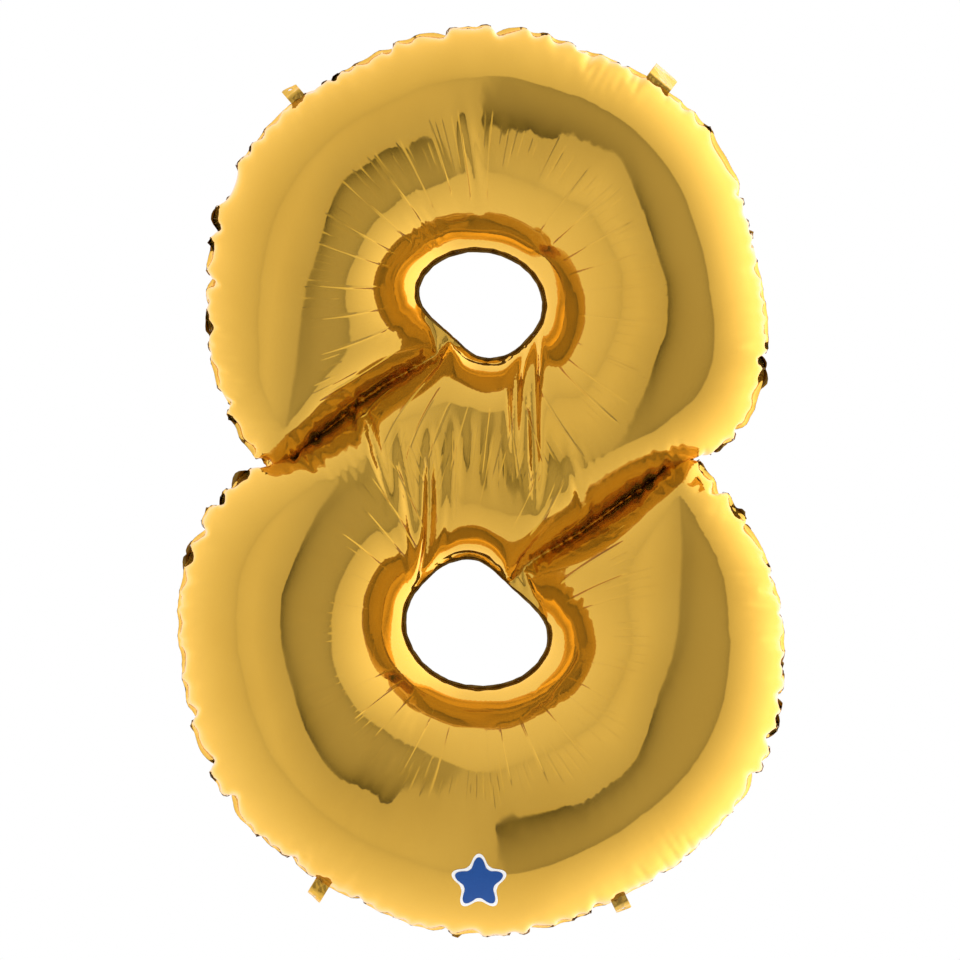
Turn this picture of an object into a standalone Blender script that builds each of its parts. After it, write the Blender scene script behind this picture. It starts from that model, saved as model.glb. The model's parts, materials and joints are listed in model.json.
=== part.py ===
"""Foil number balloon, figure eight. +Z is up, the printed front faces -Y, metres.

Two foil sheets are sealed face to face along the outline, round both holes and along two
slanting welds that run from the waist notches to the holes. Between the seals each sheet
stands out as one long S-shaped limb. A filling tail and three hanging tabs fold at the rim.
"""
import math

import bmesh
import bpy
from mathutils import Matrix, Vector

# Outline of the blown-up figure: (centre x, centre z, half width, half height) where foil meets rim.
UPPER = (0.0020, 0.1790, 0.2790, 0.2695)
LOWER = (0.0000, -0.1580, 0.3010, 0.2905)
UPPER_HOLE = (-0.0010, 0.1755, 0.0700, 0.0600)
LOWER_HOLE = (-0.0045, -0.1420, 0.0755, 0.0715)

FOIL = 0.0004           # wall of a foil sheet
GAP = 0.0003            # clearance between pieces that touch
RIM = 0.0050            # width of the sealed rim round the outline
RIM_WAVE = 0.0010       # how far each scallop stands out of the rim
RIM_SCALLOPS = 84
HOLE_RIM = 0.0045       # width of the sealed ring inside each hole
WELD = 0.0040           # width of the slanting welds

# The welds meet the holes at these angles, and the limb of foil starts and ends on them.
UPPER_HOLE_WELD = math.radians(232)
LOWER_HOLE_WELD = math.radians(52)

CROWN = 0.1040          # how far the limb stands out of the rim plane
CROWN_POWER = 0.56      # roundness of the limb: 0.5 is an ellipse
CAP_LENGTH = 0.0950     # length over which the limb's ends rise
HOLE_TURN = math.radians(277)   # how far the hole edge has turned when the outline meets the notch
WELD_SHARE = 0.45       # share of a weld passed while the hole edge closes its turn
ROWS_ROUND, ROWS_TURN, ROWS_BAR = 36, 9, 8
COLUMNS = 10

# Filling tail and hanging tabs: angle on the outline, length, width, fold back from the rim plane.
TAIL_ANGLE, TAIL_LENGTH, TAIL_WIDTH = math.radians(52), 0.0450, 0.0280
TAIL_FOLD = math.radians(75)
TAIL_OFFSET = 0.0018    # from the rim's edge to the tail's fold line
INLET_WIDTH = 0.0200
INLET_FILM = 0.0002
TONGUE_START, TONGUE_LENGTH = 0.0050, 0.0850
TAB_LENGTH, TAB_WIDTH, TAB_CORNER = 0.0180, 0.0160, 0.0030
TAB_FOLD = math.radians(65)
TAB_OFFSET = 0.0005
EYELET_RADIUS, EYELET_FROM_FOLD = 0.0020, 0.0120
EYELET_SIDES = 48
TABS = {
    "hanging_tab_upper_left": (UPPER, math.radians(131.5)),
    "hanging_tab_lower_left": (LOWER, math.radians(238)),
    "hanging_tab_lower_right": (LOWER, math.radians(297)),
}

# Printed badge on the front, low in the middle: a five-pointed star in a white border.
BADGE_AT = (-0.0020, -0.4030)
BADGE_RADIUS, BADGE_NOTCH = 0.0250, 0.62
BADGE_BORDER = 0.0035
BADGE_POINTS, BADGE_RINGS, BADGE_SIDES = 5, 6, 60
INK = 0.00012
INK_GAP = 0.00065

GOLD = (0.83, 0.63, 0.22, 1.0)
GOLD_BACK = (0.80, 0.60, 0.20, 1.0)
GOLD_SEAL = (0.66, 0.45, 0.12, 1.0)
FILM = (0.90, 0.92, 0.94, 1.0)
BLUE = (0.02, 0.09, 0.38, 1.0)
WHITE = (0.95, 0.95, 0.95, 1.0)

for old in list(bpy.data.objects):
    bpy.data.objects.remove(old, do_unlink=True)

parts = bpy.data.collections.new("foil_number_balloon")
cutters = bpy.data.collections.new("cutters")
bpy.context.scene.collection.children.link(parts)
bpy.context.scene.collection.children.link(cutters)


def material(name, colour, metallic, roughness):
    made = bpy.data.materials.new(name)
    made.use_nodes = True
    shader = made.node_tree.nodes["Principled BSDF"]
    shader.inputs["Base Color"].default_value = colour
    shader.inputs["Metallic"].default_value = metallic
    shader.inputs["Roughness"].default_value = roughness
    return made


def add(name, vertices, faces, colour, metallic=1.0, roughness=0.12):
    mesh = bpy.data.meshes.new(name)
    mesh.from_pydata([tuple(v) for v in vertices], [], faces)
    made = bpy.data.objects.new(name, mesh)
    parts.objects.link(made)
    made.data.materials.append(material(name, colour, metallic, roughness))
    return made


def solidify(made, thickness, offset):
    wall = made.modifiers.new("wall", "SOLIDIFY")
    wall.thickness = thickness
    wall.offset = offset
    wall.use_even_offset = True


def on(ellipse, angle, grow=0.0):
    """Point of an ellipse at a parametric angle, with both half axes grown."""
    x, z, a, b = ellipse
    return Vector((x + (a + grow) * math.cos(angle), 0.0, z + (b + grow) * math.sin(angle)))


def outward(ellipse, angle):
    a, b = ellipse[2], ellipse[3]
    return Vector((math.cos(angle) / a, 0.0, math.sin(angle) / b)).normalized()


def notch(side, grow=0.0):
    """Angles on the upper and lower outline where the two cross, on the left (-1) or right (+1)."""
    low, high = math.radians(-89), math.radians(20)
    for _ in range(60):
        middle = (low + high) / 2
        angle = middle if side > 0 else math.pi - middle
        p = on(UPPER, angle, grow)
        x, z, a, b = LOWER
        inside = ((p.x - x) / (a + grow)) ** 2 + ((p.z - z) / (b + grow)) ** 2 < 1
        low, high = (middle, high) if inside else (low, middle)
    return angle, math.atan2((p.z - z) / (b + grow), (p.x - x) / (a + grow))


left_upper, left_lower = notch(-1)
right_upper, right_lower = notch(1)
NOTCH_LEFT, NOTCH_RIGHT = on(UPPER, left_upper), on(UPPER, right_upper)
HOLE_LEFT = on(UPPER_HOLE, UPPER_HOLE_WELD)
HOLE_RIGHT = on(LOWER_HOLE, LOWER_HOLE_WELD)
BESIDE_WELD = WELD / 2 + GAP      # from a weld's middle line to the foil beside it


def weld_side(from_point, to_point, share, side):
    """Point beside a weld, at a share of its length; side +1 is the upper-left side."""
    along = (to_point - from_point).normalized()
    across = Vector((-abs(along.z), 0.0, abs(along.x)))
    return from_point.lerp(to_point, share) + across * side * BESIDE_WELD


def blend(a, b, share):
    return a + (b - a) * share


def limb_edges():
    """Pairs of points on the two edges of the S-shaped limb, row by row."""
    rows = []
    step = BESIDE_WELD / UPPER_HOLE[2]
    first, second = UPPER_HOLE_WELD - step, UPPER_HOLE_WELD - 2 * math.pi + step
    turned = UPPER_HOLE_WELD - HOLE_TURN
    side_step = BESIDE_WELD / UPPER[2]
    for i in range(ROWS_ROUND):
        share = i / ROWS_ROUND
        rows.append((on(UPPER_HOLE, blend(first, turned, share)),
                     on(UPPER, blend(left_upper - side_step, right_upper, share))))
    for i in range(ROWS_TURN):
        share = i / ROWS_TURN
        rows.append((on(UPPER_HOLE, blend(turned, second, share)),
                     weld_side(NOTCH_RIGHT, HOLE_RIGHT, share * WELD_SHARE, 1)))
    for i in range(ROWS_BAR):
        share = i / ROWS_BAR
        rows.append((weld_side(HOLE_LEFT, NOTCH_LEFT, share * (1 - WELD_SHARE), -1),
                     weld_side(NOTCH_RIGHT, HOLE_RIGHT, blend(WELD_SHARE, 1, share), 1)))
    step = BESIDE_WELD / LOWER_HOLE[2]
    first, second = LOWER_HOLE_WELD + step, LOWER_HOLE_WELD + 2 * math.pi - step
    turned = LOWER_HOLE_WELD + 2 * math.pi - HOLE_TURN
    for i in range(ROWS_TURN):
        share = i / ROWS_TURN
        rows.append((weld_side(HOLE_LEFT, NOTCH_LEFT, blend(1 - WELD_SHARE, 1, share), -1),
                     on(LOWER_HOLE, blend(first, turned, share))))
    side_step = BESIDE_WELD / LOWER[2]
    for i in range(ROWS_ROUND + 1):
        share = i / ROWS_ROUND
        draw_in = -BESIDE_WELD * max(0.0, 1 - 4 * share)
        rows.append((on(LOWER, blend(left_lower, right_lower + 2 * math.pi - side_step, share), draw_in),
                     on(LOWER_HOLE, blend(turned, second, share))))
    return rows


def panel(name, side, colour):
    """One foil sheet of the limb, standing out on side -1 (front) or +1 (back)."""
    rows = limb_edges()
    middles = [(a + b) / 2 for a, b in rows]
    run = [0.0]
    for a, b in zip(middles, middles[1:]):
        run.append(run[-1] + (b - a).length)
    vertices, faces = [], []
    for (inner, outer), here in zip(rows, run):
        to_end = min(here, run[-1] - here, CAP_LENGTH) / CAP_LENGTH
        rise = CROWN * (1 - (1 - to_end) ** 2) ** 0.5
        for j in range(COLUMNS + 1):
            share = (1 - math.cos(math.pi * j / COLUMNS)) / 2
            height = rise * max(0.0, 4 * share * (1 - share)) ** CROWN_POWER
            p = inner.lerp(outer, share)
            vertices.append((p.x, side * (GAP + height), p.z))
    wide = COLUMNS + 1
    for i in range(len(rows) - 1):
        for j in range(COLUMNS):
            a = i * wide + j
            quad = (a, a + 1, a + wide + 1, a + wide)
            faces.append(quad if side > 0 else quad[::-1])
    made = add(name, vertices, faces, colour)
    solidify(made, FOIL, -1)
    return made


def ring(name, inner, outer):
    """Flat closed band between two loops of points, in the rim plane."""
    count = len(inner)
    faces = [(i, (i + 1) % count, count + (i + 1) % count, count + i) for i in range(count)]
    made = add(name, inner + outer, faces, GOLD_SEAL, roughness=0.3)
    solidify(made, FOIL, 0)
    return made


def outline_loop(grow, wave=0.0):
    """The outline grown by a distance, with scallops of a given depth."""
    points = []
    per_scallop = 4
    lu, ll = notch(-1, grow)
    ru, rl = notch(1, grow)
    arcs = ((UPPER, ru, lu), (LOWER, ll, rl + 2 * math.pi))
    for ellipse, start, end in arcs:
        count = RIM_SCALLOPS // 2 * per_scallop
        for i in range(count):
            swell = abs(math.sin(math.pi * i / per_scallop))
            points.append(on(ellipse, blend(start, end, i / count), grow + wave * swell))
    return points


def hole_loop(ellipse, grow, count=72):
    return [on(ellipse, 2 * math.pi * i / count, grow) for i in range(count)]


def weld_strip(name, from_point, to_point):
    """Flat sealed strip between the two parts of the limb, clear of the rims it runs to."""
    along = (to_point - from_point).normalized()
    across = Vector((-along.z, 0.0, along.x)) * WELD / 2
    start, end = from_point + along * WELD, to_point - along * WELD
    made = add(name, [start - across, end - across, end + across, start + across],
               [(0, 1, 2, 3)], GOLD_SEAL, roughness=0.3)
    solidify(made, FOIL, 0)
    return made


def fold_frame(ellipse, angle, offset, fold):
    """Frame on a fold line at the rim: X along the fold, Y out along the folded flap."""
    out = outward(ellipse, angle)
    across = Vector((-out.z, 0.0, out.x))
    away = out * math.cos(fold) + Vector((0.0, 1.0, 0.0)) * math.sin(fold)
    place = on(ellipse, angle) + out * (RIM + RIM_WAVE + offset)
    frame = Matrix((across, away, across.cross(away))).transposed().to_4x4()
    frame.translation = place
    return frame


def plate(name, frame, width, start, length, low, thickness, colour, metallic, corner=0.0):
    """Flat piece in a fold frame, from start to start + length along it."""
    vertices = [(-width / 2, start, low), (width / 2, start, low)]
    steps = 6 if corner else 0
    for x_side, first in ((1, 0.0), (-1, math.pi / 2)):
        for i in range(steps + 1):
            turn = first + (math.pi / 2 * i / steps if steps else 0.0)
            vertices.append((x_side * (width / 2 - corner) + corner * math.cos(turn),
                             start + length - corner + corner * math.sin(turn), low))
    made = add(name, vertices, [tuple(range(len(vertices)))], colour, metallic)
    made.matrix_world = frame
    solidify(made, thickness, 1)
    return made


def hanging_tab(name, ellipse, angle):
    frame = fold_frame(ellipse, angle, TAB_OFFSET, TAB_FOLD)
    made = plate(name, frame, TAB_WIDTH, 0.0, TAB_LENGTH, -FOIL / 2, FOIL, GOLD_BACK, 1.0, TAB_CORNER)
    mesh = bpy.data.meshes.new(name + "_eyelet")
    tube = bmesh.new()
    bmesh.ops.create_cone(tube, cap_ends=True, segments=EYELET_SIDES, radius1=EYELET_RADIUS,
                          radius2=EYELET_RADIUS, depth=10 * FOIL,
                          matrix=Matrix.Translation((0.0, EYELET_FROM_FOLD, 0.0)))
    tube.to_mesh(mesh)
    tube.free()
    cutter = bpy.data.objects.new(name + "_eyelet", mesh)
    cutters.objects.link(cutter)
    cutter.matrix_world = frame
    cutter.hide_render = True
    cutter.display_type = "WIRE"
    cut = made.modifiers.new("eyelet", "BOOLEAN")
    cut.operation = "DIFFERENCE"
    cut.solver = "EXACT"
    cut.object = cutter


def star(grow, turn):
    """Distance of the badge's edge from its middle in a direction: a soft five-pointed star."""
    point = (math.cos(BADGE_POINTS * (turn - math.pi / 2)) + 1) / 2
    return (BADGE_RADIUS * blend(BADGE_NOTCH, 1.0, point ** 1.5)) + grow


def badge(name, front, grow, lift, colour):
    """Printed patch laid on the front sheet."""
    x, z = BADGE_AT
    vertices, faces = [(x, -2 * CROWN, z)], []
    for ring_no in range(1, BADGE_RINGS + 1):
        for i in range(BADGE_SIDES):
            turn = 2 * math.pi * i / BADGE_SIDES
            far = star(grow, turn) * ring_no / BADGE_RINGS
            vertices.append((x + far * math.cos(turn), -2 * CROWN, z + far * math.sin(turn)))
    for i in range(BADGE_SIDES):
        j = (i + 1) % BADGE_SIDES
        faces.append((0, 1 + i, 1 + j))
        for ring_no in range(BADGE_RINGS - 1):
            a, b = 1 + ring_no * BADGE_SIDES, 1 + (ring_no + 1) * BADGE_SIDES
            faces.append((a + i, b + i, b + j, a + j))
    made = add(name, vertices, faces, colour, metallic=0.0, roughness=0.25)
    laid = made.modifiers.new("laid on the foil", "SHRINKWRAP")
    laid.target = front
    laid.wrap_method = "PROJECT"
    laid.wrap_mode = "ABOVE_SURFACE"
    laid.use_project_y = True
    laid.use_project_z = False
    laid.use_positive_direction = True
    laid.offset = lift
    solidify(made, INK, 1)


front_panel = panel("front_panel", -1, GOLD)
panel("back_panel", 1, GOLD_BACK)
ring("outer_seam", outline_loop(GAP), outline_loop(RIM, RIM_WAVE))
ring("upper_hole_seam", hole_loop(UPPER_HOLE, -HOLE_RIM), hole_loop(UPPER_HOLE, -GAP))
ring("lower_hole_seam", hole_loop(LOWER_HOLE, -HOLE_RIM), hole_loop(LOWER_HOLE, -GAP))
weld_strip("left_weld", HOLE_LEFT, NOTCH_LEFT)
weld_strip("right_weld", NOTCH_RIGHT, HOLE_RIGHT)

# The valve is two thin films: an inlet in the tail and a tongue that hangs inside the balloon.
tail = fold_frame(UPPER, TAIL_ANGLE, TAIL_OFFSET, TAIL_FOLD)
film_at = GAP / 2
foil_at = film_at + INLET_FILM + GAP
plate("tail_front", tail, TAIL_WIDTH, 0.0, TAIL_LENGTH, -foil_at - FOIL, FOIL, GOLD, 1.0)
plate("tail_back", tail, TAIL_WIDTH, 0.0, TAIL_LENGTH, foil_at, FOIL, GOLD_BACK, 1.0)
plate("valve_inlet_front", tail, INLET_WIDTH, 0.0, TAIL_LENGTH * 0.8, -film_at - INLET_FILM,
      INLET_FILM, FILM, 0.0)
plate("valve_inlet_back", tail, INLET_WIDTH, 0.0, TAIL_LENGTH * 0.8, film_at,
      INLET_FILM, FILM, 0.0)
inside = fold_frame(UPPER, TAIL_ANGLE, -RIM - RIM_WAVE - TONGUE_START - TONGUE_LENGTH, 0.0)
plate("valve_tongue_front", inside, INLET_WIDTH, 0.0, TONGUE_LENGTH, -film_at - INLET_FILM,
      INLET_FILM, FILM, 0.0)
plate("valve_tongue_back", inside, INLET_WIDTH, 0.0, TONGUE_LENGTH, film_at,
      INLET_FILM, FILM, 0.0)

for tab_name, (lobe, tab_angle) in TABS.items():
    hanging_tab(tab_name, lobe, tab_angle)

badge("badge_border", front_panel, BADGE_BORDER, INK_GAP, WHITE)
badge("badge_print", front_panel, 0.0, INK_GAP + INK + GAP, BLUE)
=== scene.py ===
"""Looks of the foil number balloon: the two foil sheets are cut flat, welded and filled here."""
import json
import math

import bpy
import numpy as np
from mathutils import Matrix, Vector
from mathutils.bvhtree import BVHTree
from mathutils.geometry import delaunay_2d_cdt
from mathutils.kdtree import KDTree


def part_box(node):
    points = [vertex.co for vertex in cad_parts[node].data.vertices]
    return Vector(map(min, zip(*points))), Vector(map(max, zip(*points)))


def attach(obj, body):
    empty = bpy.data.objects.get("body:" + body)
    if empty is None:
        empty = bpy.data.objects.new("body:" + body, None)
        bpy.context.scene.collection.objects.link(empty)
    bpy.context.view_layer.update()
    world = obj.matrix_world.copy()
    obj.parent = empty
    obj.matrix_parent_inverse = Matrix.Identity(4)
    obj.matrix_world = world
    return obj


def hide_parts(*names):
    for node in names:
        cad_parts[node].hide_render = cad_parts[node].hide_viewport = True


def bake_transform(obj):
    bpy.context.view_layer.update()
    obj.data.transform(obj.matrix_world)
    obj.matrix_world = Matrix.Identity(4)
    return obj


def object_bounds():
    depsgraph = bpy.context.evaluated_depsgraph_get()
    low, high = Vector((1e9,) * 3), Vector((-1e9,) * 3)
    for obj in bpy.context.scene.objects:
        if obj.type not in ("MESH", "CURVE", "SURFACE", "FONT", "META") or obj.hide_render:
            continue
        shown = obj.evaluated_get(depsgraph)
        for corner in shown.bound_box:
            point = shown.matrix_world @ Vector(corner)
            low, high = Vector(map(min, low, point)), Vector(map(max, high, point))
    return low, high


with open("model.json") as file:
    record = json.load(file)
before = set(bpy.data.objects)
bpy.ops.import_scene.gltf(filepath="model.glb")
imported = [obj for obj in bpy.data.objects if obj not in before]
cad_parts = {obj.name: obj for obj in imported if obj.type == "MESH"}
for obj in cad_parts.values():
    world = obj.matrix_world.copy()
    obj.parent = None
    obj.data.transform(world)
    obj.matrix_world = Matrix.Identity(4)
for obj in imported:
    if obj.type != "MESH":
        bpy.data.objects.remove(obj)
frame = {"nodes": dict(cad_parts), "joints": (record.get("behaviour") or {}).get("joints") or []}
cad_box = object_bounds()

# The flat cut of the sheets, in metres. A lobe is (centre x, centre z, half width, half height,
# then how far its outline leaves the ellipse: skew, two terms three times round, one four times).
# These four, and AS_CUT_TO_SIZE below, were fitted: programs compared the silhouette of
# the filled sheets with the one in the photo, and changed the numbers until they nearly agreed.
UPPER = (-0.0095, 0.2483, 0.3704, 0.3053, -0.0244, -0.0126, -0.0271, -0.0216)
LOWER = (0.0043, -0.2179, 0.3935, 0.3334, -0.0355, 0.0115, 0.0152, -0.0095)
UPPER_HOLE = (-0.0258, 0.2055, 0.0612, 0.0503)
LOWER_HOLE = (0.0077, -0.1564, 0.0711, 0.0588)
UPPER_HOLE_WELD, LOWER_HOLE_WELD = math.radians(232), math.radians(52)     # where a weld meets each hole
RIM, HOLE_RIM = 0.0045, 0.0035              # width outside the seals
CROSSING_SAMPLES, LOBE_SAMPLES, HOLE_SAMPLES = 20001, 3000, 2000
GRID_HALF_X, GRID_HALF_Z = 0.48, 0.64       # the grid of points covers more than the sheet
GRID_INSIDE = 0.001                         # and is kept this share of a lobe or hole off the lines
CLEAR_OF_SEAL = 0.62                        # and this share of a step from the points on the seals
HOLE_STEP = 0.8                             # points on a hole's seal are this much closer together
SAME_POINT = 1e-7

# The filling: coarse sheets that only resist stretch, then fine ones that keep part of their slack.
COARSE, FINE = 0.0110, 0.0055
COARSE_STEPS, SETTLE_STEPS, SOFT_STEPS, FIRM_STEPS = 500, 80, 150, 200
PRESSURE = 0.0006
BENDING = 0.01
COARSE_DAMPING, SETTLE_DAMPING, FINE_DAMPING = 0.01, 0.02, 0.03
FORCE_EVERY = 3                             # steps between two workings of the pressure's force
SOFT_PUSH = 0.1                             # how much of a link's missing length a soft step gives back
START_GAP = 0.002                           # half the gap between the sheets before the filling
KEPT_SLACK, CRUMPLED_SLACK = 0.20, 0.45     # on the smooth limbs, and along the welds
CRUMPLED_WIDTH = 0.030
BAR, BAR_SIZE = (-0.010, 0.030), (0.100, 0.075)      # the bar between the holes
BAR_CRUMPLED = 0.6                          # how much of the welds' crumpling the bar has
SEED_NOISE = 0.0002
AS_CUT_TO_SIZE = 0.9715                     # the pattern above is drawn a little large
LEAST_LENGTH = 1e-7                         # keeps a division from failing
PAIR_KEY = 10 ** 7                          # above the number of points


# ---------------------------------------------------------------- the flat pattern

def off_ellipse(lobe, turn):
    skew, cos3, sin3, cos4 = lobe[4:]
    return (1 + skew * np.sin(2 * turn) + cos3 * np.cos(3 * turn) + sin3 * np.sin(3 * turn)
            + cos4 * np.cos(4 * turn))


def lobe_line(lobe, turn):
    x, z, a, b = lobe[:4]
    far = off_ellipse(lobe, turn)
    return np.stack([x + a * far * np.cos(turn), z + b * far * np.sin(turn)], -1)


def in_lobe(lobe, p):
    """Below 1 inside a lobe's outline."""
    x, z, a, b = lobe[:4]
    u, v = (p[..., 0] - x) / a, (p[..., 1] - z) / b
    return np.hypot(u, v) / off_ellipse(lobe, np.arctan2(v, u))


def hole_line(hole, turn):
    return np.stack([hole[0] + hole[2] * np.cos(turn), hole[1] + hole[3] * np.sin(turn)], -1)


def in_hole(hole, p):
    return np.hypot((p[..., 0] - hole[0]) / hole[2], (p[..., 1] - hole[1]) / hole[3])


def spaced(points, step, closed=False):
    if closed:
        points = np.vstack([points, points[:1]])
    run = np.r_[0, np.cumsum(np.linalg.norm(np.diff(points, axis=0), axis=1))]
    at = np.linspace(0, run[-1], max(2, int(round(run[-1] / step))) + 1)
    out = np.stack([np.interp(at, run, points[:, k]) for k in (0, 1)], -1)
    return out[:-1] if closed else out


def crossing(side):
    """Turns on the two lobes where their outlines cross, right (1) or left (-1)."""
    turn = np.linspace(-math.pi / 2, math.pi / 2, CROSSING_SAMPLES)
    if side < 0:
        turn = math.pi - turn
    r = in_lobe(LOWER, lobe_line(UPPER, turn))
    upper = turn[np.where((r[:-1] < 1) & (r[1:] >= 1))[0][0]]
    p = lobe_line(UPPER, np.array([upper]))[0]
    return upper, math.atan2((p[1] - LOWER[1]) / LOWER[3], (p[0] - LOWER[0]) / LOWER[2])


def inside_cut(p, slack=0.0):
    return (((in_lobe(UPPER, p) < 1 - slack) | (in_lobe(LOWER, p) < 1 - slack))
            & (in_hole(UPPER_HOLE, p) > 1 + slack) & (in_hole(LOWER_HOLE, p) > 1 + slack))


def flat_cut(step):
    """Triangles of the flat sheet. The points on the seals come first: they are welded to the other."""
    (right_up, right_low), (left_up, left_low) = crossing(1), crossing(-1)
    left_low %= 2 * math.pi
    while right_low < left_low:
        right_low += 2 * math.pi
    over = spaced(lobe_line(UPPER, np.linspace(right_up, left_up, LOBE_SAMPLES)), step)
    under = spaced(lobe_line(LOWER, np.linspace(left_low, right_low, LOBE_SAMPLES)), step)
    turn = np.linspace(0, 2 * math.pi, HOLE_SAMPLES, endpoint=False)
    loops = {
        "outline": np.vstack([over[:-1], under[:-1]]),
        "upper_hole": spaced(hole_line(UPPER_HOLE, turn + UPPER_HOLE_WELD), step * HOLE_STEP, True),
        "lower_hole": spaced(hole_line(LOWER_HOLE, turn + LOWER_HOLE_WELD), step * HOLE_STEP, True),
    }
    points, edges, seals = [], [], {}
    for name, line in loops.items():
        first, count = len(points), len(line)
        points.extend(map(tuple, line))
        edges.extend((first + i, first + (i + 1) % count) for i in range(count))
        seals[name] = list(range(first, first + count))
    notch_left = seals["outline"][len(over) - 1]
    for name, start, end in (("left_weld", notch_left, seals["upper_hole"][0]),
                             ("right_weld", seals["outline"][0], seals["lower_hole"][0])):
        between = spaced(np.array([points[start], points[end]]), step)[1:-1]
        first = len(points)
        points.extend(map(tuple, between))
        seals[name] = [start, *range(first, len(points)), end]
        edges.extend(zip(seals[name][:-1], seals[name][1:]))
    sealed = len(points)
    xs = np.arange(-GRID_HALF_X, GRID_HALF_X, step)
    zs = np.arange(-GRID_HALF_Z, GRID_HALF_Z, step * math.sqrt(3) / 2)
    x, z = np.meshgrid(xs, zs)
    x = x + ((np.arange(len(zs)) % 2) * step / 2)[:, None]
    grid = np.stack([x.ravel(), z.ravel()], -1)
    grid = grid[inside_cut(grid, GRID_INSIDE)]
    tree = KDTree(sealed)
    for i, p in enumerate(points):
        tree.insert((p[0], p[1], 0), i)
    tree.balance()
    grid = grid[np.array([tree.find((p[0], p[1], 0))[2] > CLEAR_OF_SEAL * step for p in grid])]
    cut = delaunay_2d_cdt([Vector(p) for p in np.vstack([points, grid])], edges, [], 0, SAME_POINT)
    flat = np.array([tuple(p) for p in cut[0]])
    faces = np.array([f for f in cut[2] if len(f) == 3])
    faces = faces[inside_cut(flat[faces].mean(1))]
    a, b, c = (flat[faces[:, k]] for k in range(3))
    turned = (b[:, 0] - a[:, 0]) * (c[:, 1] - a[:, 1]) - (c[:, 0] - a[:, 0]) * (b[:, 1] - a[:, 1])
    faces = np.where(turned[:, None] > 0, faces, faces[:, ::-1])
    return flat, faces, seals, sealed


# kinds of face
FRONT, BACK = 0, 1
RIMS = {"outline": 2, "upper_hole": 3, "lower_hole": 4}


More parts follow.
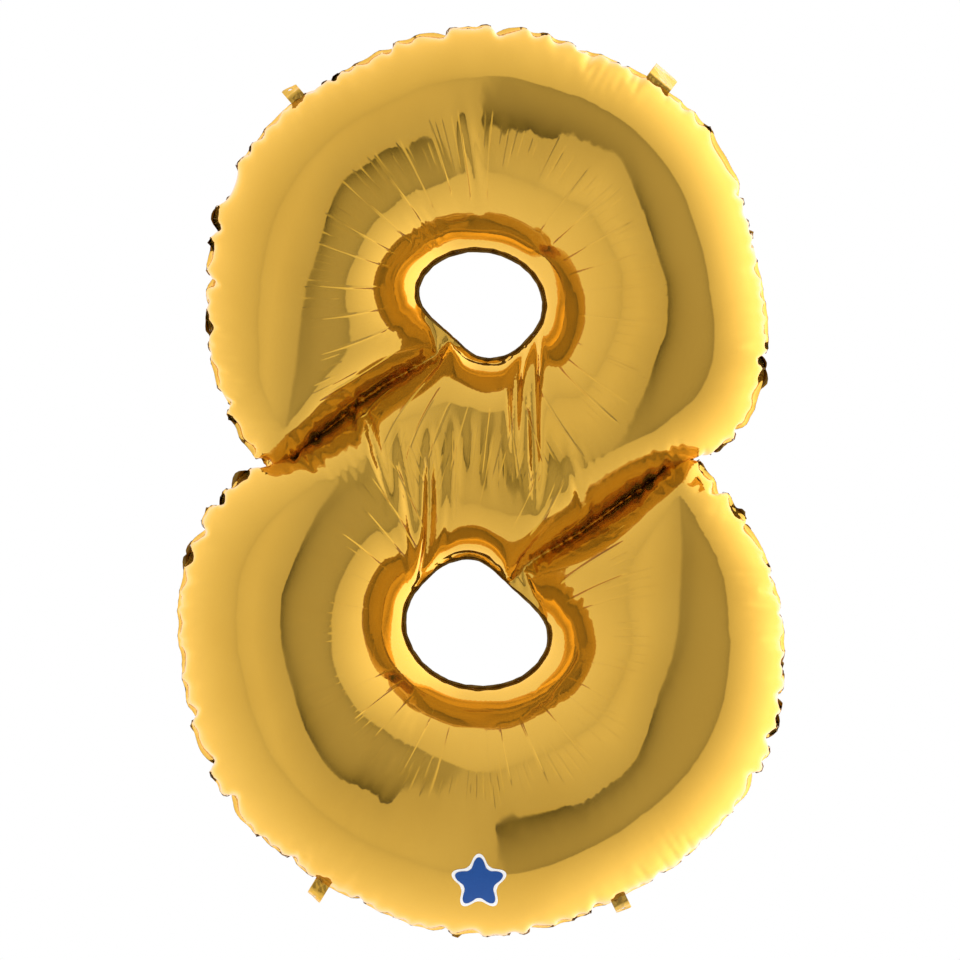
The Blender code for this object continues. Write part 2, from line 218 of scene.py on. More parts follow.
class Foil:
    """Front and back sheet, joined on the seals, with the single-layer rims outside them."""

    def __init__(self, step):
        self.step = step
        flat, faces, self.seals, self.sealed = flat_cut(step)
        self.one = len(flat)
        other = np.r_[np.arange(self.sealed), np.arange(self.one, 2 * self.one - self.sealed)]
        self.flat = np.vstack([flat, flat[self.sealed:]])
        side = np.r_[np.zeros(self.sealed), -np.ones(self.one - self.sealed),
                     np.ones(self.one - self.sealed)]
        parts = [faces, other[faces][:, ::-1]]
        kinds = [FRONT] * len(faces) + [BACK] * len(faces)
        for name, kind in RIMS.items():
            ids = np.array(self.seals[name])
            line = flat[ids]
            along = np.roll(line, -1, 0) - np.roll(line, 1, 0)
            along /= np.linalg.norm(along, axis=1)[:, None]
            out = np.stack([along[:, 1], -along[:, 0]], -1)
            edge = line + out * (RIM if name == "outline" else -HOLE_RIM)
            first, count = len(self.flat), len(ids)
            self.flat, side = np.vstack([self.flat, edge]), np.r_[side, np.zeros(count)]
            i = np.arange(count)
            j = (i + 1) % count
            parts += [np.stack([ids, first + i, first + j], -1), np.stack([ids, first + j, ids[j]], -1)]
            kinds += [kind] * 2 * count
        self.faces, self.kind = np.vstack(parts), np.array(kinds)
        self.count = len(self.flat)
        rest = np.c_[self.flat[:, 0], np.zeros(self.count), self.flat[:, 1]]
        self.at = rest.copy()
        self.at[:, 1] = side * START_GAP
        self.speed = np.zeros_like(self.at)
        draw = np.random.default_rng(1)
        self.edges, self.length, self.groups = self.linked(self.sides(self.faces), rest, draw)
        sheet = self.kind <= BACK
        over = [self.across(self.faces[sheet]), self.across(self.faces[~sheet])]
        _, _, self.folds = self.linked(np.vstack(over), rest, draw)
        self.filled = self.faces[sheet]
        a, b, c = (rest[self.faces[:, k]] for k in range(3))
        area = np.linalg.norm(np.cross(b - a, c - a), axis=1) / 2
        self.mass = np.bincount(self.faces.ravel(), np.repeat(area / 3, 3), self.count)[:, None]

    @staticmethod
    def sides(faces):
        pairs = np.vstack([faces[:, [0, 1]], faces[:, [1, 2]], faces[:, [2, 0]]])
        return np.unique(np.sort(pairs, 1), axis=0)

    @staticmethod
    def across(faces):
        """The two far corners over each shared side, which resist folding."""
        pairs = np.sort(np.vstack([faces[:, [0, 1]], faces[:, [1, 2]], faces[:, [2, 0]]]), 1)
        far = np.r_[faces[:, 2], faces[:, 0], faces[:, 1]]
        key = pairs[:, 0].astype(np.int64) * PAIR_KEY + pairs[:, 1]
        order = np.argsort(key, kind="stable")
        key, far = key[order], far[order]
        _, first, uses = np.unique(key, return_index=True, return_counts=True)
        two = first[uses == 2]
        return np.stack([far[two], far[two + 1]], -1)

    def linked(self, pairs, rest, draw):
        """Pairs in a mixed order, their lengths, and groups in which no point comes twice."""
        pairs = pairs[draw.permutation(len(pairs))]
        length = np.linalg.norm(rest[pairs[:, 0]] - rest[pairs[:, 1]], axis=1)
        used, group = [0] * self.count, np.zeros(len(pairs), int)
        for k, (a, b) in enumerate(pairs.tolist()):
            taken = used[a] | used[b]
            free = ~taken & (taken + 1)
            used[a] |= free
            used[b] |= free
            group[k] = free.bit_length() - 1
        groups = [np.where(group == g)[0] for g in range(group.max() + 1)]
        return pairs, length, [(pairs[g, 0].copy(), pairs[g, 1].copy(), length[g], g) for g in groups]

    def pull(self, shortest, push):
        """Brings each linked pair back to at most its length, and at least its shortest."""
        for i, j, length, g in self.groups:
            a, b = self.at[i], self.at[j]
            d = a - b
            now = np.sqrt((d * d).sum(1)) + LEAST_LENGTH
            off = now - length
            if shortest is None:
                off = np.maximum(off, 0)
            else:
                low = shortest[g]
                off = np.where(off > 0, off, np.where(now < low, (now - low) * push, 0))
            d *= (off / now * 0.5)[:, None]
            self.at[i], self.at[j] = a - d, b + d

    def fill(self, steps, damping, shortest=None, push=1.0, bending=0.0):
        """Blows the sheets up for a number of steps."""
        for step in range(steps):
            if step % FORCE_EVERY == 0:
                a, b, c = (self.at[self.filled[:, k]] for k in range(3))
                area = np.cross(b - a, c - a) / 6
                force = np.stack([np.bincount(self.filled.ravel(), np.repeat(area[:, k], 3), self.count)
                                  for k in range(3)], -1) / self.mass
            before = self.at.copy()
            self.speed = (self.speed + force * PRESSURE * self.step) * (1 - damping)
            self.at += self.speed
            if bending:
                for i, j, length, _ in self.folds:
                    a, b = self.at[i], self.at[j]
                    d = a - b
                    now = np.sqrt((d * d).sum(1)) + LEAST_LENGTH
                    d *= ((now - length) / now * 0.5 * bending)[:, None]
                    self.at[i], self.at[j] = a - d, b + d
            self.pull(shortest, push)
            self.speed = self.at - before

    def sheet_points(self, kind):
        if kind == FRONT:
            return np.arange(self.one)
        return np.r_[np.arange(self.sealed), np.arange(self.one, self.count)]

    def take_shape_of(self, other):
        """Places these points where the same places of another mesh of the sheets are."""
        for kind in (FRONT, BACK):
            faces = other.faces[(other.kind == kind) | (other.kind > BACK)]
            tree = BVHTree.FromPolygons([(p[0], p[1], 0) for p in other.flat], faces.tolist())
            for i in self.sheet_points(kind):
                place, _, found, _ = tree.find_nearest((*self.flat[i], 0))
                f = faces[found]
                a, b, c = other.flat[f]
                u, v, w = b - a, c - a, np.array(place[:2]) - a
                det = u[0] * v[1] - v[0] * u[1]
                s, t = (w[0] * v[1] - v[0] * w[1]) / det, (u[0] * w[1] - w[0] * u[1]) / det
                self.at[i] = other.at[f[0]] * (1 - s - t) + other.at[f[1]] * s + other.at[f[2]] * t
        self.speed[:] = 0


def kept_slack(foil):
    """Share of its slack that each link keeps, so that foil stays crumpled beside the welds."""
    middle = foil.flat[foil.edges].mean(1)
    off_bar = ((middle - BAR) / BAR_SIZE) ** 2
    crumpled = np.exp(-off_bar.sum(1)) * BAR_CRUMPLED
    for name in ("left_weld", "right_weld"):
        start, end = foil.flat[foil.seals[name][0]], foil.flat[foil.seals[name][-1]]
        span = end - start
        along = np.clip((middle - start) @ span / (span @ span), 0, 1)
        off = np.linalg.norm(middle - start - along[:, None] * span, axis=1)
        crumpled = np.maximum(crumpled, np.exp(-(off / CRUMPLED_WIDTH) ** 2))
    return KEPT_SLACK + (CRUMPLED_SLACK - KEPT_SLACK) * crumpled


def filled_foil():
    coarse = Foil(COARSE)
    coarse.fill(COARSE_STEPS, COARSE_DAMPING)
    foil = Foil(FINE)
    foil.take_shape_of(coarse)
    foil.fill(SETTLE_STEPS, SETTLE_DAMPING)
    now = np.linalg.norm(foil.at[foil.edges[:, 0]] - foil.at[foil.edges[:, 1]], axis=1)
    kept = np.minimum(now + kept_slack(foil) * (foil.length - now), foil.length)
    foil.at[:, 1] += np.random.default_rng(4).normal(0, SEED_NOISE, foil.count)
    foil.fill(SOFT_STEPS, FINE_DAMPING, kept, SOFT_PUSH, BENDING)
    foil.fill(FIRM_STEPS, FINE_DAMPING, kept, 1.0, BENDING)
    foil.at *= AS_CUT_TO_SIZE
    foil.at -= (foil.at.min(0) + foil.at.max(0)) / 2
    return foil


# ---------------------------------------------------------------- shader building

class Nodes:
    """Short names for building a node tree."""

    def __init__(self, tree):
        self.tree = tree

    def node(self, kind, inputs=None, **settings):
        made = self.tree.nodes.new(kind)
        for key, value in settings.items():
            setattr(made, key, value)
        for key, value in (inputs or {}).items():
            if isinstance(value, bpy.types.NodeSocket):
                self.tree.links.new(value, made.inputs[key])
            else:
                made.inputs[key].default_value = value
        return made

    def math(self, operation, *values):
        return self.node("ShaderNodeMath", dict(enumerate(values)), operation=operation).outputs[0]

    def length(self, a, b):
        return self.math("SQRT", self.math("ADD", self.math("MULTIPLY", a, a), self.math("MULTIPLY", b, b)))

    def noise(self, place, scale, detail):
        return self.node("ShaderNodeTexNoise",
                         {"Vector": place, "Scale": scale, "Detail": detail}).outputs[0]

    def band(self, value, low, high, smooth=True):
        """0 at low to 1 at high."""
        return self.node("ShaderNodeMapRange", {0: value, 1: low, 2: high},
                         interpolation_type="SMOOTHSTEP" if smooth else "LINEAR").outputs[0]

    def mix(self, factor, a, b):
        made = self.node("ShaderNodeMix", {0: factor}, data_type="RGBA")
        for slot, value in ((6, a), (7, b)):
            if isinstance(value, bpy.types.NodeSocket):
                self.tree.links.new(value, made.inputs[slot])
            else:
                made.inputs[slot].default_value = (*value, 1) if len(value) == 3 else value
        return made.outputs[2]

    def blend(self, factor, a, b):
        return self.math("ADD", self.math("MULTIPLY", a, self.math("SUBTRACT", 1.0, factor)),
                         self.math("MULTIPLY", b, factor))


def material(name):
    made = bpy.data.materials.new(name)
    made.use_nodes = True
    shader = made.node_tree.nodes["Principled BSDF"]
    return made, Nodes(made.node_tree), shader


GOLD, GOLD_DEEP = (0.67, 0.388, 0.046), (0.64, 0.362, 0.038)
LOOSE_GOLD = (0.42, 0.26, 0.045)
GRAZING_GOLD = (0.95, 0.70, 0.30)
# The seals' very dark gold base colour is painted shade: it stands in for the shade in the crinkled rims
# and in the creases along the welds.
SEAL_PAINTED_SHADE_DARK, SEAL_PAINTED_SHADE_PALE = (0.10, 0.052, 0.012), (0.20, 0.11, 0.020)
SEAL_GRAZING = (0.60, 0.40, 0.16)
BLUE, BLUE_SPECK = (0.003, 0.060, 0.27), (0.005, 0.070, 0.30)
WHITE, WHITE_SPECK = (0.90, 0.90, 0.90), (0.84, 0.84, 0.84)
FILM, FILM_PALE = (0.80, 0.83, 0.86), (0.90, 0.92, 0.94)

HAZED = 0.86                # metallic share; the rest is the haze of printed foil
COAT, COAT_ROUGH = 0.40, 0.06
FOIL_ROUGH, LOOSE_ROUGH, ROUGH_GRAIN = 0.025, 0.16, 0.03
CLOUDS, GRAIN, SWELLS, FOLDS = 5.0, 40.0, 14.0, 160.0       # patterns per metre
SEAL_CLOUDS, SEAL_ROUGH, SEAL_ROUGH_CLOUDS, SEAL_HEIGHT = 60.0, 0.20, 0.12, 0.0006
INK_GRAIN, INK_ROUGH, INK_ROUGH_GRAIN, INK_SHINE, INK_COAT = 900.0, 0.28, 0.1, 0.25, 0.05
FILM_CLOUDS, FILM_ROUGH, FILM_ROUGH_CLOUDS = 80.0, 0.2, 0.15
SWELL_HEIGHT, NEAR_HEIGHT, FRINGE_HEIGHT, FOLD_HEIGHT = 0.0006, 0.00065, 0.00024, 0.0009
# creases round a hole: how many, half width, and where they start and end from the hole's centre
NEAR_CREASES, FRINGE_CREASES = (34, 0.0012, 0.125, 0.210), (130, 0.0010, 0.175, 0.215)
CREASE_SCATTER = 0.03       # of the starts and ends
CREASE_STARTS_IN, CREASE_ENDS_IN = 0.012, 0.015


def creases(n, flat, hole, weld_turn, cells, width, start, end, seed):
    """Height of fine straight creases that run out from a hole, 0 to 1."""
    parts = n.node("ShaderNodeSeparateXYZ", {0: flat}).outputs
    x = n.math("SUBTRACT", parts[0], hole[0])
    z = n.math("SUBTRACT", parts[1], hole[1])
    far = n.length(x, z)
    # turned so that the jump of the angle lies on the weld
    c, s = math.cos(math.pi - weld_turn), math.sin(math.pi - weld_turn)
    xr = n.math("SUBTRACT", n.math("MULTIPLY", x, c), n.math("MULTIPLY", z, s))
    zr = n.math("ADD", n.math("MULTIPLY", x, s), n.math("MULTIPLY", z, c))
    turn = n.math("ARCTAN2", zr, xr)
    per = cells / (2 * math.pi)
    w = n.math("ADD", n.math("MULTIPLY", turn, per), seed)
    cells_at = {"W": w, "Scale": 1.0, "Randomness": 0.9}
    edge = n.node("ShaderNodeTexVoronoi", cells_at,
                  voronoi_dimensions="1D", feature="DISTANCE_TO_EDGE").outputs["Distance"]
    metres = n.math("MULTIPLY", edge, n.math("DIVIDE", far, per))
    line = n.math("EXPONENT", n.math("MULTIPLY", n.math("MULTIPLY", metres, metres), -1 / width ** 2))
    cell = n.node("ShaderNodeTexVoronoi", cells_at,
                  voronoi_dimensions="1D", feature="F1").outputs["Color"]
    spread = n.node("ShaderNodeSeparateColor", {0: cell}).outputs
    reach, begin = (
        n.math("ADD", at, n.math("MULTIPLY", n.math("SUBTRACT", chance, 0.5), CREASE_SCATTER))
        for at, chance in ((end, spread[0]), (start, spread[1])))
    starting = n.band(far, begin, n.math("ADD", begin, CREASE_STARTS_IN))
    ending = n.band(far, n.math("SUBTRACT", reach, CREASE_ENDS_IN), reach)
    window = n.math("MULTIPLY", starting, n.math("SUBTRACT", 1.0, ending))
    return n.math("MULTIPLY", n.math("MULTIPLY", line, window), n.band(spread[2], 0.15, 0.9))


def foil_material(name, creased, rough):
    made, n, shader = material(name)
    place = n.node("ShaderNodeTexCoord").outputs["Object"]
    cloud = n.band(n.noise(place, CLOUDS, 3.0), 0.35, 0.65)
    tint = n.mix(cloud, GOLD if creased else LOOSE_GOLD, GOLD_DEEP)
    n.tree.links.new(tint, shader.inputs["Base Color"])
    shader.inputs["Metallic"].default_value = HAZED
    grain = n.math("MULTIPLY", n.noise(place, GRAIN, 4.0), ROUGH_GRAIN)
    n.tree.links.new(n.math("ADD", rough, grain), shader.inputs["Roughness"])
    shader.inputs["Specular Tint"].default_value = (*GRAZING_GOLD, 1)
    shader.inputs["Coat Weight"].default_value = COAT
    shader.inputs["Coat Roughness"].default_value = COAT_ROUGH
    total = n.math("MULTIPLY", n.noise(place, SWELLS, 1.0), SWELL_HEIGHT)
    if creased:
        flat = n.node("ShaderNodeUVMap", uv_map="flat_cut").outputs[0]
        for hole, turn, seed in ((UPPER_HOLE, UPPER_HOLE_WELD, 11.3), (LOWER_HOLE, LOWER_HOLE_WELD, 47.1)):
            near = creases(n, flat, hole, turn, *NEAR_CREASES, seed)
            fringe = creases(n, flat, hole, turn, *FRINGE_CREASES, seed + 80)
            total = n.math("ADD", total, n.math("MULTIPLY", near, NEAR_HEIGHT))
            total = n.math("ADD", total, n.math("MULTIPLY", fringe, FRINGE_HEIGHT))
    else:
        fold = n.node("ShaderNodeTexVoronoi", {"Vector": place, "Scale": FOLDS}, feature="F1").outputs[0]
        total = n.math("ADD", total, n.math("MULTIPLY", fold, FOLD_HEIGHT))
    bump = n.node("ShaderNodeBump", {"Strength": 1.0, "Distance": 1.0, "Height": total})
    n.tree.links.new(bump.outputs[0], shader.inputs["Normal"])
    return made


def seal_material():
    made, n, shader = material("sealed_foil_painted_shade")
    place = n.node("ShaderNodeTexCoord").outputs["Object"]
    cloud = n.noise(place, SEAL_CLOUDS, 4.0)
    # dark to pale gold over noise: painted shade of the crinkled rims and of the weld creases
    n.tree.links.new(n.mix(n.band(cloud, 0.3, 0.7), SEAL_PAINTED_SHADE_DARK, SEAL_PAINTED_SHADE_PALE), shader.inputs["Base Color"])
    shader.inputs["Metallic"].default_value = 1.0
    shader.inputs["Specular Tint"].default_value = (*SEAL_GRAZING, 1)
    n.tree.links.new(n.math("ADD", SEAL_ROUGH, n.math("MULTIPLY", cloud, SEAL_ROUGH_CLOUDS)),
                     shader.inputs["Roughness"])
    bump = n.node("ShaderNodeBump", {"Strength": 1.0, "Distance": 1.0,
                                     "Height": n.math("MULTIPLY", cloud, SEAL_HEIGHT)})
    n.tree.links.new(bump.outputs[0], shader.inputs["Normal"])
    return made


def ink_material(name, colour, speck):
    made, n, shader = material(name)
    place = n.node("ShaderNodeTexCoord").outputs["Object"]
    grain = n.noise(place, INK_GRAIN, 2.0)
    n.tree.links.new(n.mix(n.band(grain, 0.4, 0.6), colour, speck), shader.inputs["Base Color"])
    n.tree.links.new(n.math("ADD", INK_ROUGH, n.math("MULTIPLY", grain, INK_ROUGH_GRAIN)),
                     shader.inputs["Roughness"])
    shader.inputs["Specular IOR Level"].default_value = INK_SHINE
    shader.inputs["Coat Weight"].default_value = INK_COAT
    return made


def film_material():
    made, n, shader = material("valve_film")
    place = n.node("ShaderNodeTexCoord").outputs["Object"]
    cloud = n.noise(place, FILM_CLOUDS, 3.0)
    n.tree.links.new(n.mix(cloud, FILM, FILM_PALE), shader.inputs["Base Color"])
    n.tree.links.new(n.math("ADD", FILM_ROUGH, n.math("MULTIPLY", cloud, FILM_ROUGH_CLOUDS)),
                     shader.inputs["Roughness"])
    return made


front_foil = foil_material("gold_foil_front", True, FOIL_ROUGH)
back_foil = foil_material("gold_foil_back", True, FOIL_ROUGH)
loose_foil = foil_material("gold_foil_loose", False, LOOSE_ROUGH)
sealed = seal_material()
blue_ink = ink_material("blue_ink", BLUE, BLUE_SPECK)
white_ink = ink_material("white_ink", WHITE, WHITE_SPECK)
film = film_material()


# ---------------------------------------------------------------- pieces

def piece(name, points, faces, mat, body, node, uv=None):
    """An object that stands for a CAD node, with its flat places as UV if they are given."""
    mesh = bpy.data.meshes.new(name)
    mesh.from_pydata([tuple(p) for p in points], [], [tuple(int(i) for i in f) for f in faces])
    mesh.update()
    mesh.polygons.foreach_set("use_smooth", [True] * len(mesh.polygons))
    if uv is not None:
        layer = mesh.uv_layers.new(name="flat_cut")
        corner = np.zeros(len(mesh.loops), np.int32)
        mesh.loops.foreach_get("vertex_index", corner)
        layer.data.foreach_set("uv", np.asarray(uv, np.float32)[corner].ravel())
    made = bpy.data.objects.new(name, mesh)
    bpy.context.scene.collection.objects.link(made)
    mesh.materials.append(mat)
    if body:
        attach(made, body)
    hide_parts(node)
    return made


def part_of(foil, kind):
    """Points, faces and flat places of one sheet or rim."""
    faces = foil.faces[foil.kind == kind]
    used, faces = np.unique(faces, return_inverse=True)
    return foil.at[used], faces.reshape(-1, 3), foil.flat[used]


def subdivide(made):
    smooth = made.modifiers.new("smooth", "SUBSURF")
    smooth.levels = smooth.render_levels = 1
    smooth.use_limit_surface, smooth.quality = False, 1     # the limit surface takes gigabytes here
    smooth.uv_smooth = "NONE"


def thicken(made):
    thick = made.modifiers.new("thick", "SOLIDIFY")
    thick.thickness, thick.offset = FOIL_THICK, 0.0


foil = filled_foil()
sheets = {}
for kind, name, node, mat in ((FRONT, "front_sheet", "front_panel", front_foil),
                              (BACK, "back_sheet", "back_panel", back_foil)):
    points, faces, flat = part_of(foil, kind)
    sheets[kind] = piece(name, points, faces, mat, "balloon", node, flat)
    subdivide(sheets[kind])

RIM_FINER = 4               # points of a rim per point of its seal
RIM_CURL = 0.0006
SCALLOP_LENGTHS, SCALLOP_DEPTHS = (0.7, 1.3), (0.6, 1.0)
SCALLOP_ROUND = 0.6
FOIL_THICK = 0.0003


def sealed_rim(name, node, seal, scallops, least, reach, seed):
    """The single layer outside a seal, in scallops between the points where the foil is pinched."""
    faces = foil.faces[foil.kind == RIMS[seal]]
    ids = np.array(foil.seals[seal])
    outer = faces[:len(ids), 1]
    count = len(ids) * RIM_FINER
    at = np.arange(count) / RIM_FINER
    knots = np.arange(len(ids) + 1)
    inner_line, outer_line = (
        np.stack([np.interp(at, knots, np.r_[line[:, k], line[0, k]]) for k in range(3)], -1)
        for line in (foil.at[ids], foil.at[outer]))
    draw = np.random.default_rng(seed)
    spans = draw.uniform(*SCALLOP_LENGTHS, scallops)
    ends = np.r_[0, np.cumsum(spans) / spans.sum()] * count
    which = np.searchsorted(ends, np.arange(count), side="right") - 1
    part = (np.arange(count) - ends[which]) / (ends[which + 1] - ends[which])
    deep = draw.uniform(*SCALLOP_DEPTHS, scallops)[which]
    wide = least + (1 - least) * np.sin(math.pi * part) ** SCALLOP_ROUND * deep
    edge = inner_line + (outer_line - inner_line) * reach * wide[:, None]
    edge[:, 1] += RIM_CURL * np.sin(2 * math.pi * part) * wide
    middle = (inner_line + edge) / 2
    i = np.arange(count)
    j = (i + 1) % count
    points = np.vstack([inner_line, middle, edge])
    quads = np.vstack([np.stack([i, i + count, j + count, j], -1),
                       np.stack([i + count, i + 2 * count, j + 2 * count, j + count], -1)])
    thicken(piece(name, points, quads, sealed, "balloon", node))


sealed_rim("outline_rim", "outer_seam", "outline", 92, 0.10, 1.6, 5)
sealed_rim("upper_hole_rim", "upper_hole_seam", "upper_hole", 22, 0.85, 1.0, 6)
sealed_rim("lower_hole_rim", "lower_hole_seam", "lower_hole", 24, 0.85, 1.0, 7)

for kind in (FRONT, BACK):
    a, b, c = (foil.flat[foil.faces[foil.kind == kind][:, k]] * AS_CUT_TO_SIZE for k in range(3))

WELD_HALF = 0.0012
# the weld strips carry the seals' dark colour, a painted shade line along the crease between the limbs
for name in ("left_weld", "right_weld"):
    line = foil.at[foil.seals[name]]
    along = np.gradient(line, axis=0)
    along /= np.linalg.norm(along, axis=1)[:, None]
    side = np.cross(along, (0, 1, 0))
    side /= np.linalg.norm(side, axis=1)[:, None]
    count = len(line)
    points = np.vstack([line - side * WELD_HALF, line + side * WELD_HALF])
    faces = [(i, i + 1, count + i + 1, count + i) for i in range(count - 1)]
    made = piece(name + "_strip", points, faces, sealed, "balloon", name)
    subdivide(made)

# ---------------------------------------------------------------- the printed star

front = sheets[FRONT].evaluated_get(bpy.context.evaluated_depsgraph_get())
front_mesh = front.to_mesh()
surface = BVHTree.FromPolygons([v.co for v in front_mesh.vertices],
                               [tuple(p.vertices) for p in front_mesh.polygons])
front.to_mesh_clear()
low, high = (np.array(corner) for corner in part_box("badge_print"))
BADGE_DROP = 0.0005
BADGE = ((low[0] + high[0]) / 2, (low[2] + high[2]) / 2 - BADGE_DROP)
BADGE_RADIUS, BADGE_NOTCH, BADGE_SHARP, BADGE_BORDER = 0.0250, 0.62, 1.5, 0.0035
BORDER_LIFT, PRINT_LIFT = 0.0004, 0.0008
BEFORE_FRONT = -1.0         # a place in front of the balloon, from which rays find the sheet
BADGE_RINGS, BADGE_SIDES = 14, 120


def star(turn, grow):
    point = (math.cos(5 * (turn - math.pi / 2)) + 1) / 2
    return BADGE_RADIUS * (BADGE_NOTCH + (1 - BADGE_NOTCH) * point ** BADGE_SHARP) + grow


def on_front(x, z, lift):
    place, normal, _, _ = surface.ray_cast((x, BEFORE_FRONT, z), (0, 1, 0))
    if normal.y > 0:
        normal = -normal
    return place + normal * lift


for name, grow, lift, mat, slot, node in (
        ("star_border", BADGE_BORDER, BORDER_LIFT, white_ink, "white_ink", "badge_border"),
        ("star_print", 0.0, PRINT_LIFT, blue_ink, "blue_ink", "badge_print")):
    points, faces = [on_front(*BADGE, lift)], []
    for r in range(1, BADGE_RINGS + 1):
        for i in range(BADGE_SIDES):
            turn = 2 * math.pi * i / BADGE_SIDES
            far = star(turn, grow) * r / BADGE_RINGS
            x, z = BADGE[0] + far * math.cos(turn), BADGE[1] + far * math.sin(turn)
            points.append(on_front(x, z, lift))
    for i in range(BADGE_SIDES):
        j = (i + 1) % BADGE_SIDES
        faces.append((0, 1 + i, 1 + j))
        for r in range(BADGE_RINGS - 1):
            a, b = 1 + r * BADGE_SIDES, 1 + (r + 1) * BADGE_SIDES
            faces.append((a + i, b + i, b + j, a + j))
    piece(name, points, faces, mat, "balloon", node)

# ---------------------------------------------------------------- tail and hanging tabs

hinges = {joint["child"]: joint for joint in frame["joints"]}
TAIL_LENGTH, TAIL_WIDTH, TAIL_FOLD = 0.0450, 0.0280, math.radians(75)
TAIL_PLY, INLET_PLY = 0.0012, 0.4 * 0.0012      # between the two foil layers, and the two films
INLET_LENGTH, INLET_WIDTH = TAIL_LENGTH * 0.8, 0.0200
TAB_LENGTH, TAB_WIDTH, TAB_FOLD = 0.0180, 0.0160, math.radians(65)
TAB_CORNER = 0.0030
EYELET_RADIUS, EYELET_FROM_FOLD = 0.0020, 0.0120
TUCKED = 0.0120             # hidden length between the two sheets
FOLD_LENGTH = 0.0030
CELL = 0.0010
CRUMPLES, CRUMPLE_SPREAD, LEAST_CRUMPLE = 9, 0.02, 0.4
CALM_LENGTH = 0.012         # the crumples grow over this length from the fold
TAIL_ROUGH, TAB_ROUGH = 0.10, 0.12


def crumple(seed, count, low, high):
    """Sum of straight sharp folds over (u, v), as foil keeps after it is handled."""
    draw = np.random.default_rng(seed)
    turns, places = draw.uniform(0, math.pi, count), draw.uniform(-1, 1, count)
    sizes = draw.uniform(low, high, count) * draw.choice([-1, 1], count)

    def height(u, v):
        out = np.zeros_like(u)
        for turn, place, size in zip(turns, places, sizes):
            out += size * np.abs(u * math.cos(turn) + v * math.sin(turn) - place * CRUMPLE_SPREAD)
        return out
    return height


def flap(name, body, length, width, fold, node, mat, seed, rough, offset=0.0, corner=0.0,
         eyelet=False):
    """A strip of foil that comes out from between the sheets and folds back at the body's hinge."""
    root, along = Vector(hinges[body]["pos_m"]), Vector(hinges[body]["axis"])
    out = Vector((-along.z, 0, along.x))
    height = crumple(seed, CRUMPLES, rough * LEAST_CRUMPLE, rough)
    us = np.linspace(-width / 2, width / 2, int(round(width / CELL)) + 1)
    vs = np.linspace(-TUCKED, length, int(round((length + TUCKED) / CELL)) + 1)
    u, v = np.meshgrid(us, vs, indexing="ij")
    wave = height(u, v - TAIL_LENGTH / 2) - height(np.zeros(1), np.zeros(1))
    wave *= np.clip(v / CALM_LENGTH, 0, 1)
    bend = fold * np.clip(v / FOLD_LENGTH, 0, 1)
    step = np.diff(vs, prepend=vs[0])
    far = np.cumsum(np.cos(fold * np.clip(vs / FOLD_LENGTH, 0, 1)) * step) - TUCKED
    back = np.cumsum(np.sin(fold * np.clip(vs / FOLD_LENGTH, 0, 1)) * step)
    lift = wave + offset
    points = (np.array(root)[None, None] + u[..., None] * np.array(along)
              + (far[None] - lift * np.sin(bend))[..., None] * np.array(out)
              + (back[None] + lift * np.cos(bend))[..., None] * np.array((0, 1, 0)))
    rows, columns = u.shape
    faces = []
    for i in range(rows - 1):
        for j in range(columns - 1):
            mu, mv = (us[i] + us[i + 1]) / 2, (vs[j] + vs[j + 1]) / 2
            if eyelet and math.hypot(mu, mv - EYELET_FROM_FOLD) < EYELET_RADIUS:
                continue
            du, dv = abs(mu) - (width / 2 - corner), mv - (length - corner)
            if corner and du > 0 and dv > 0 and math.hypot(du, dv) > corner:
                continue
            a = i * columns + j
            faces.append((a, a + columns, a + columns + 1, a + 1))
    made = piece(name, points.reshape(-1, 3), faces, mat, None, node)
    thicken(made)
    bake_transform(made)


TAIL_SEED, FIRST_TAB_SEED = 21, 31     # the films share the tail's crumples
for side, sign in (("front", -1), ("back", 1)):
    flap("filling_tail_" + side, "filling_tail", TAIL_LENGTH, TAIL_WIDTH, TAIL_FOLD, "tail_" + side,
         loose_foil, TAIL_SEED, TAIL_ROUGH, sign * TAIL_PLY / 2)
    flap("inlet_film_" + side, "filling_tail", INLET_LENGTH, INLET_WIDTH, TAIL_FOLD,
         "valve_inlet_" + side, film, TAIL_SEED, TAIL_ROUGH, sign * INLET_PLY / 2)
for seed, body in enumerate(("tab_upper_left", "tab_lower_left", "tab_lower_right"), FIRST_TAB_SEED):
    flap("foil_" + body, body, TAB_LENGTH, TAB_WIDTH, TAB_FOLD, "hanging_" + body,
         loose_foil, seed, TAB_ROUGH, 0.0, TAB_CORNER, True)

for name in ("valve_tongue_front", "valve_tongue_back"):
    node = frame["nodes"][name]
    node.data.materials.clear()
    node.data.materials.append(film)

# ---------------------------------------------------------------- studio

# The light tent, in degrees off the -Y direction: an opening that shows a dimmer room, and the
# tent's wall round it. Every level is the strength of the light from there.
OPENING_CENTRE, OPENING_RADII = (3.0, 2.0), (52.0, 54.0)
OPENING_SOFT = (0.98, 1.02)
EDGE_NARROW = 12.0          # how fast the shading beside the opening's edge fades
LEFT_ROOM, LEFT_ROOM_RISE, LEFT_ROOM_FAR = 0.76, 0.28, -30.0
RIGHT_ROOM, RIGHT_ROOM_EDGE = 0.60, 0.20
TIP_DARK, TIP_NARROW = 0.57, 0.11           # the dark line that the room shows just right of its middle
LEFT_WALL, LEFT_WALL_RISE, LEFT_WALL_SPAN = 0.91, 0.80, (45.0, 160.0)
RIGHT_WALL, RIGHT_WALL_RISE, RIGHT_WALL_SPAN = 0.80, 1.60, (50.0, 125.0)
BEHIND_DIMMER, BEHIND_SPAN = 0.45, (148.0, 178.0)
LEFT_EDGE_DIMMER = 0.10
MIDDLE = 0.8                # half width of the change from left to right
# and how far to the right of straight up a change of level starts and ends, as a sine
ROOM_TURN, TIP_TURN, WALL_TURN, LEFT_EDGE_TURN = (0.1, 0.45), (0.02, 0.2), (0.15, 0.75), (0.3, -0.3)

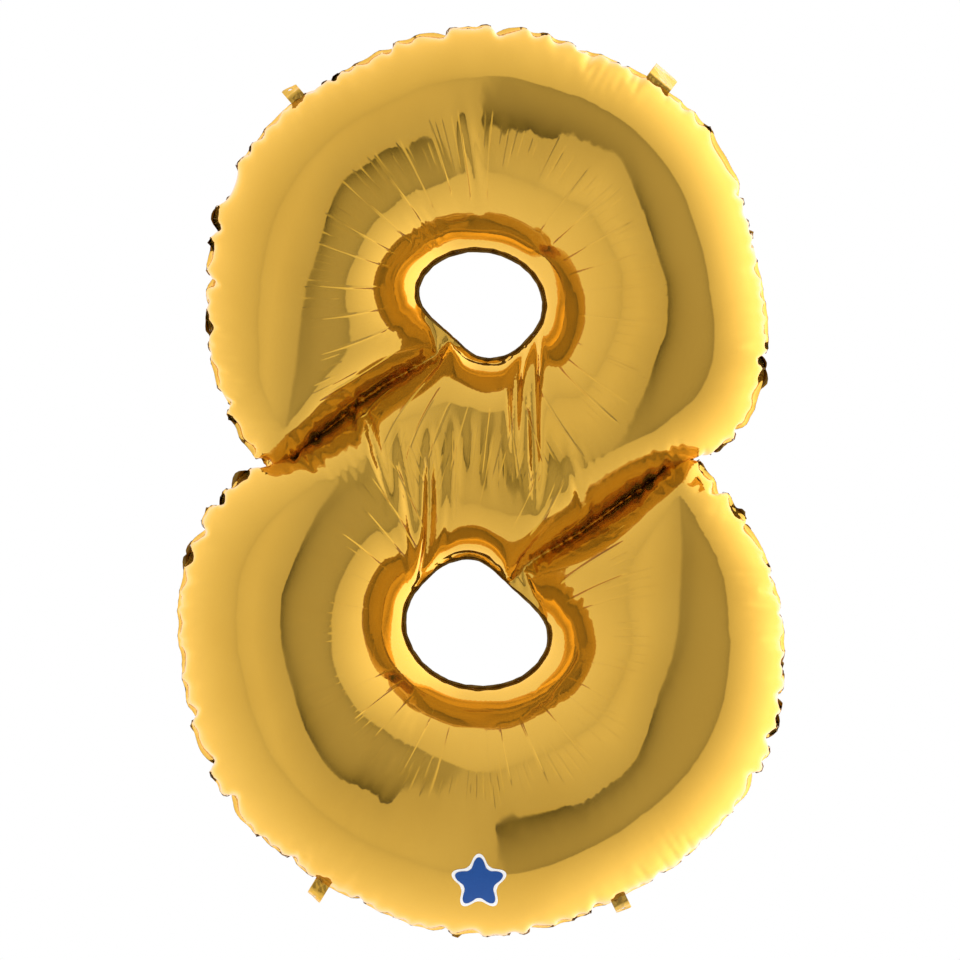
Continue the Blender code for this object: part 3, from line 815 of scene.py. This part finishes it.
world = bpy.data.worlds.new("studio")
bpy.context.scene.world = world
world.use_nodes = True
n = Nodes(world.node_tree)
background = world.node_tree.nodes["Background"]
way = n.node("ShaderNodeTexCoord").outputs["Generated"]
x, y, z = n.node("ShaderNodeSeparateXYZ", {0: way}).outputs
off = n.math("MULTIPLY", n.math("ARCCOSINE", n.math("MULTIPLY", y, -1.0)), 180 / math.pi)
round_y = n.math("MAXIMUM", n.length(x, z), 1e-5)
rightness, upness = n.math("DIVIDE", x, round_y), n.math("DIVIDE", z, round_y)
across, lift = n.math("MULTIPLY", off, rightness), n.math("MULTIPLY", off, upness)
right_half = n.band(across, -MIDDLE, MIDDLE)

inside = n.length(*(n.math("DIVIDE", n.math("SUBTRACT", place, centre), radius)
                    for place, centre, radius in zip((across, lift), OPENING_CENTRE, OPENING_RADII)))
opening = n.math("SUBTRACT", 1.0, n.band(inside, *OPENING_SOFT))
edge = n.math("EXPONENT", n.math("MULTIPLY", n.math("ABSOLUTE", n.math("SUBTRACT", inside, 1.0)),
                                 -EDGE_NARROW))

left_room = n.math("ADD", LEFT_ROOM, n.math("MULTIPLY", n.band(across, 0.0, LEFT_ROOM_FAR, False),
                                            LEFT_ROOM_RISE))
right_room = n.math("SUBTRACT", RIGHT_ROOM, n.math("MULTIPLY", edge, RIGHT_ROOM_EDGE))
room = n.blend(n.math("MULTIPLY", right_half, n.band(rightness, *ROOM_TURN)), left_room, right_room)
tip = n.math("EXPONENT", n.math("MULTIPLY", n.math("MAXIMUM", across, 0.0), -TIP_NARROW))
room = n.math("SUBTRACT", room, n.math("MULTIPLY", n.math("MULTIPLY", tip, TIP_DARK),
                                       n.math("MULTIPLY", right_half, n.band(rightness, *TIP_TURN))))

left_wall, right_wall = (
    n.math("ADD", level, n.math("MULTIPLY", n.band(off, *span, False), rise))
    for level, rise, span in ((LEFT_WALL, LEFT_WALL_RISE, LEFT_WALL_SPAN),
                              (RIGHT_WALL, RIGHT_WALL_RISE, RIGHT_WALL_SPAN)))
wall = n.blend(n.band(rightness, *WALL_TURN), left_wall, right_wall)
behind = n.math("MULTIPLY", n.band(off, *BEHIND_SPAN), BEHIND_DIMMER)
wall = n.math("MULTIPLY", wall, n.math("SUBTRACT", 1.0, behind))

light = n.blend(opening, wall, room)
light = n.math("SUBTRACT", light, n.math("MULTIPLY", n.math("MULTIPLY", edge, LEFT_EDGE_DIMMER),
                                         n.band(rightness, *LEFT_EDGE_TURN)))
seen = n.node("ShaderNodeLightPath").outputs["Is Camera Ray"]
n.tree.links.new(n.blend(seen, light, 1.0), background.inputs["Strength"])
background.inputs["Color"].default_value = (1, 1, 1, 1)

FLOOR_BELOW, FLOOR_REACH = 0.75, 6.0
FLOOR_GREY, FLOOR_ROUGH = 0.92, 0.9
mesh = bpy.data.meshes.new("floor")
mesh.from_pydata([(i * FLOOR_REACH, j * FLOOR_REACH, 0) for i, j in ((-1, -1), (1, -1), (1, 1), (-1, 1))],
                 [], [(0, 1, 2, 3)])
floor = bpy.data.objects.new("floor", mesh)
floor.location.z = cad_box[0][2] - FLOOR_BELOW
bpy.context.scene.collection.objects.link(floor)
pale, _, pale_shader = material("pale_floor")
pale_shader.inputs["Base Color"].default_value = (FLOOR_GREY, FLOOR_GREY, FLOOR_GREY, 1)
pale_shader.inputs["Roughness"].default_value = FLOOR_ROUGH
mesh.materials.append(pale)
floor.visible_glossy = False        # the foil mirrors the light tent, not the floor

CAMERA_PLACE, CAMERA_WIDTH = (-0.001, -4.0, 0.0), 0.960
camera = bpy.data.objects.new("camera", bpy.data.cameras.new("camera"))
camera.data.type = "ORTHO"
camera.data.ortho_scale = CAMERA_WIDTH
camera.location = CAMERA_PLACE
camera.rotation_euler = (math.pi / 2, 0, 0)
bpy.context.scene.collection.objects.link(camera)
bpy.context.scene.camera = camera
bpy.context.scene.view_settings.view_transform = "Standard"
